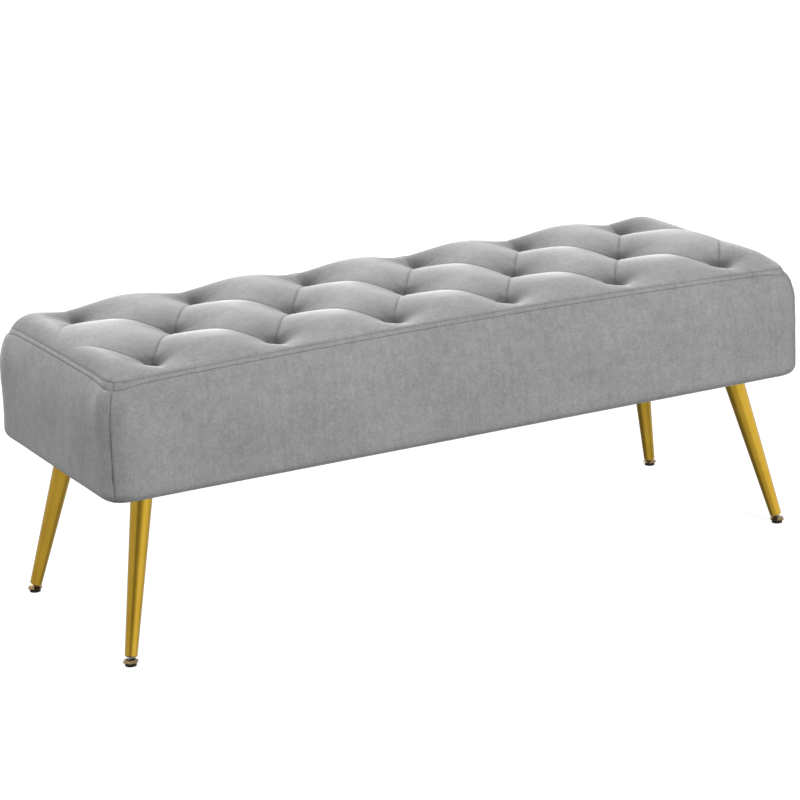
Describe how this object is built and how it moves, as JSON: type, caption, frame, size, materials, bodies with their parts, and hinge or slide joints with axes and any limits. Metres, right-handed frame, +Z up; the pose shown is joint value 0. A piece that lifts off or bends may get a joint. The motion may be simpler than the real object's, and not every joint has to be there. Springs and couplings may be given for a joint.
{
  "type": "tufted ottoman",
  "caption": "Long upholstered bench ottoman with a diamond-tufted velvet top on splayed tapered metal legs with swivelling levelling feet.",
  "frame": {"origin": "on the floor under the middle of the box", "axes": "+X along the bench's long side, +Y from its front to its back, +Z up"},
  "size_m": [1.1592, 0.4312, 0.4422],
  "materials": {
    "velvet": "matte",
    "foam": "matte",
    "plywood": "matte",
    "pine": "matte",
    "non_woven": "matte",
    "thread": "matte",
    "washer_plastic": "matte",
    "steel": "satin",
    "black_steel": "satin",
    "gold_metal": "satin",
    "bronze_zinc": "satin",
    "black_plastic": "matte",
    "black_rubber": "matte"
  },
  "bodies": {
    "bench": {"tufted_top": "velvet", "front_panel": "velvet", "back_panel": "velvet", "left_panel": "velvet", "right_panel": "velvet", "foam_slab": "foam", "seat_deck": "plywood", "front_rail": "pine", "back_rail": "pine", "left_rail": "pine", "right_rail": "pine", "cross_rail_left": "pine", "cross_rail_right": "pine", "dust_cover": "non_woven", "tuft_ties": "thread", "tuft_washers": "washer_plastic", "deck_screws": "steel", "frame_screws": "steel", "leg_bolts": "black_steel", "t_nuts": "steel", "gusset_front_left": "pine", "leg_board_front_left": "plywood", "leg_plate_front_left": "black_steel", "leg_tube_front_left": "gold_metal", "leg_insert_front_left": "black_plastic", "gusset_front_right": "pine", "leg_board_front_right": "plywood", "leg_plate_front_right": "black_steel", "leg_tube_front_right": "gold_metal", "leg_insert_front_right": "black_plastic", "gusset_back_left": "pine", "leg_board_back_left": "plywood", "leg_plate_back_left": "black_steel", "leg_tube_back_left": "gold_metal", "leg_insert_back_left": "black_plastic", "gusset_back_right": "pine", "leg_board_back_right": "plywood", "leg_plate_back_right": "black_steel", "leg_tube_back_right": "gold_metal", "leg_insert_back_right": "black_plastic"},
    "stud_front_left": {"foot_stud_front_left": "steel"},
    "foot_front_left": {"foot_cap_front_left": "bronze_zinc", "foot_pad_front_left": "black_rubber"},
    "stud_front_right": {"foot_stud_front_right": "steel"},
    "foot_front_right": {"foot_cap_front_right": "bronze_zinc", "foot_pad_front_right": "black_rubber"},
    "stud_back_left": {"foot_stud_back_left": "steel"},
    "foot_back_left": {"foot_cap_back_left": "bronze_zinc", "foot_pad_back_left": "black_rubber"},
    "stud_back_right": {"foot_stud_back_right": "steel"},
    "foot_back_right": {"foot_cap_back_right": "bronze_zinc", "foot_pad_back_right": "black_rubber"}
  },
  "joints": [
    {"name": "foot_screw_front_left", "type": "slide", "parent": "bench", "child": "stud_front_left", "axis": [-0.2179, -0.1934, -0.9566], "range_m": [0, 0.008]},
    {"name": "foot_screw_front_right", "type": "slide", "parent": "bench", "child": "stud_front_right", "axis": [0.2179, -0.1934, -0.9566], "range_m": [0, 0.008]},
    {"name": "foot_screw_back_left", "type": "slide", "parent": "bench", "child": "stud_back_left", "axis": [-0.2179, 0.1934, -0.9566], "range_m": [0, 0.008]},
    {"name": "foot_screw_back_right", "type": "slide", "parent": "bench", "child": "stud_back_right", "axis": [0.2179, 0.1934, -0.9566], "range_m": [0, 0.008]},
    {"name": "foot_swivel_front_left", "type": "hinge", "parent": "stud_front_left", "child": "foot_front_left", "pos_m": [-0.5525, -0.182, 0.0065], "axis": [-0.6639, 0.7478, 0], "range_deg": [-3, 36.9]},
    {"name": "foot_swivel_front_right", "type": "hinge", "parent": "stud_front_right", "child": "foot_front_right", "pos_m": [0.5525, -0.182, 0.0065], "axis": [-0.6639, -0.7478, 0], "range_deg": [-3, 36.9]},
    {"name": "foot_swivel_back_left", "type": "hinge", "parent": "stud_back_left", "child": "foot_back_left", "pos_m": [-0.5525, 0.182, 0.0065], "axis": [0.6639, 0.7478, 0], "range_deg": [-3, 36.9]},
    {"name": "foot_swivel_back_right", "type": "hinge", "parent": "stud_back_right", "child": "foot_back_right", "pos_m": [0.5525, 0.182, 0.0065], "axis": [0.6639, -0.7478, 0], "range_deg": [-3, 36.9]}
  ]
}
